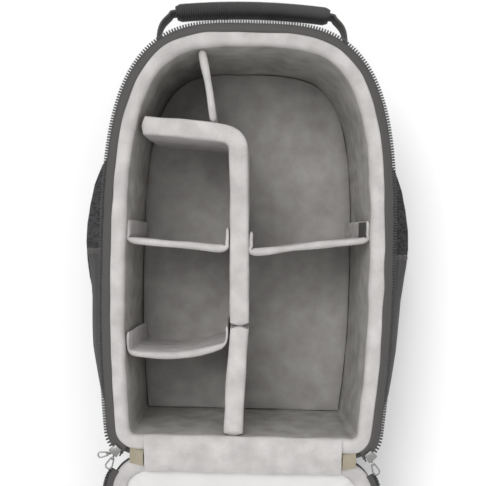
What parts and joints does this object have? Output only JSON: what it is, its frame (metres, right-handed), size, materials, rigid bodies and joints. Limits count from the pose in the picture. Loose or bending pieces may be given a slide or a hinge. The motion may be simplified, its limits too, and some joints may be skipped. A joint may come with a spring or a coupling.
{
  "type": "camera backpack",
  "caption": "Open clamshell camera backpack with padded lift-out dividers, zipped swing-out lid, side pockets, grab handle and harness.",
  "frame": {"origin": "on the back pad's flat underside, on the bag's centreline, half way between the base and the zip's crown", "axes": "+X to the right seen from the lid's side, +Y from the base to the crown with the grab handle, +Z from the harness to the lid"},
  "size_m": [0.3486, 0.8373, 0.1506],
  "materials": {
    "black_nylon": "plain-woven coated nylon, matt",
    "black_webbing": "ribbed woven webbing, matt",
    "air_mesh": "spacer mesh over foam, matt",
    "grey_lining": "brushed loop pile over foam, matt",
    "grey_floor": "brushed loop pile over foam, matt",
    "pocket_cloth": "thin plain-woven nylon, satin",
    "khaki_webbing": "twill tape, matt",
    "zip_coil": "moulded coil, satin",
    "gunmetal": "plated zinc, dull",
    "black_plastic": "moulded acetal, satin",
    "black_rubber": "coated cloth and moulded rubber, matt",
    "frame_board": "extruded sheet, satin"
  },
  "bodies": {
    "bag": {"back_panel": "black_nylon", "frame_sheet": "frame_board", "floor_pad": "grey_floor", "shell_right": "black_nylon", "shell_top": "black_nylon", "shell_left": "black_nylon", "shell_base": "black_nylon", "liner_right": "grey_lining", "liner_top": "grey_lining", "liner_left": "grey_lining", "liner_base": "grey_lining", "zip_tape_body": "black_webbing", "zip_chain_body": "zip_coil", "base_boot": "black_rubber", "foot_left": "black_rubber", "foot_right": "black_rubber", "hinge_strip": "grey_lining", "corner_tie_left": "khaki_webbing", "corner_tie_right": "khaki_webbing", "side_pocket_left": "black_nylon", "side_pocket_right": "black_nylon", "side_pocket_hem_left": "black_webbing", "side_pocket_hem_right": "black_webbing", "handle_anchor_left": "black_webbing", "handle_anchor_right": "black_webbing", "back_pad": "air_mesh", "harness_yoke": "black_nylon", "shoulder_strap_left": "air_mesh", "shoulder_strap_right": "air_mesh", "ladder_lock_left": "black_plastic", "ladder_lock_right": "black_plastic", "strap_webbing_left": "black_webbing", "strap_webbing_right": "black_webbing", "strap_wing_left": "black_nylon", "strap_wing_right": "black_nylon"},
    "lid": {"lid_border": "grey_lining", "lid_panel": "black_nylon", "lid_pocket": "pocket_cloth", "lid_pocket_hem": "black_webbing", "zip_tape_lid": "black_webbing", "zip_chain_lid": "zip_coil", "front_pocket": "black_nylon", "front_pocket_hem": "black_webbing"},
    "handle": {"handle_webbing": "black_webbing", "handle_grip": "black_nylon"},
    "slider_left": {"slider_left": "gunmetal", "eye_ring_left": "gunmetal", "eye_tag_left": "gunmetal"},
    "slider_right": {"slider_right": "gunmetal", "eye_ring_right": "gunmetal"},
    "ring_left": {"pull_ring_left": "gunmetal"},
    "tag_left": {"pull_tag_left": "gunmetal"},
    "ring_right": {"pull_ring_right": "gunmetal"},
    "divider_upper_left": {"divider_upper_left": "grey_lining"},
    "divider_long_ell": {"divider_long_ell": "grey_lining"},
    "divider_lower_centre": {"divider_lower_centre": "grey_lining"},
    "divider_left_middle": {"divider_left_middle": "grey_lining"},
    "divider_left_lower": {"divider_left_lower": "grey_lining"},
    "divider_right_middle": {"divider_right_middle": "grey_lining"}
  },
  "joints": [
    {"name": "lid_hinge", "type": "hinge", "parent": "bag", "child": "lid", "pos_m": [0, -0.2065, 0.15], "axis": [1, 0, 0], "range_deg": [-199.9, 0]},
    {"name": "handle_swing", "type": "hinge", "parent": "bag", "child": "handle", "pos_m": [0, 0.19, 0.05], "axis": [1, 0, 0], "range_deg": [-25, 28], "stiffness_Nm_per_rad": 1},
    {"name": "slider_left_run", "type": "hinge", "parent": "bag", "child": "slider_left", "pos_m": [-0.10085, -0.1815, 0.14705], "axis": [0, 0, -1], "range_deg": [0, 36]},
    {"name": "slider_right_run", "type": "hinge", "parent": "bag", "child": "slider_right", "pos_m": [0.10085, -0.1815, 0.14705], "axis": [0, 0, 1], "range_deg": [0, 36]},
    {"name": "ring_left_swing", "type": "hinge", "parent": "slider_left", "child": "ring_left", "pos_m": [-0.12179, -0.20929, 0.14705], "axis": [-0.9063, 0.4226, 0], "range_deg": [0, 100]},
    {"name": "tag_left_swing", "type": "hinge", "parent": "slider_left", "child": "tag_left", "pos_m": [-0.12588, -0.20567, 0.14705], "axis": [-0.1736, 0.9848, 0], "range_deg": [0, 90]},
    {"name": "ring_right_swing", "type": "hinge", "parent": "slider_right", "child": "ring_right", "pos_m": [0.12179, -0.20929, 0.14705], "axis": [-0.9063, -0.4226, 0], "range_deg": [0, 100]},
    {"name": "lift_divider_upper_left", "type": "slide", "parent": "bag", "child": "divider_upper_left", "axis": [0, 0, 1], "range_m": [0, 0.125]},
    {"name": "lift_divider_long_ell", "type": "slide", "parent": "bag", "child": "divider_long_ell", "axis": [0, 0, 1], "range_m": [0, 0.125]},
    {"name": "lift_divider_lower_centre", "type": "slide", "parent": "bag", "child": "divider_lower_centre", "axis": [0, 0, 1], "range_m": [0, 0.125]},
    {"name": "lift_divider_left_middle", "type": "slide", "parent": "bag", "child": "divider_left_middle", "axis": [0, 0, 1], "range_m": [0, 0.125]},
    {"name": "lift_divider_left_lower", "type": "slide", "parent": "bag", "child": "divider_left_lower", "axis": [0, 0, 1], "range_m": [0, 0.125]},
    {"name": "lift_divider_right_middle", "type": "slide", "parent": "bag", "child": "divider_right_middle", "axis": [0, 0, 1], "range_m": [0, 0.125]}
  ]
}
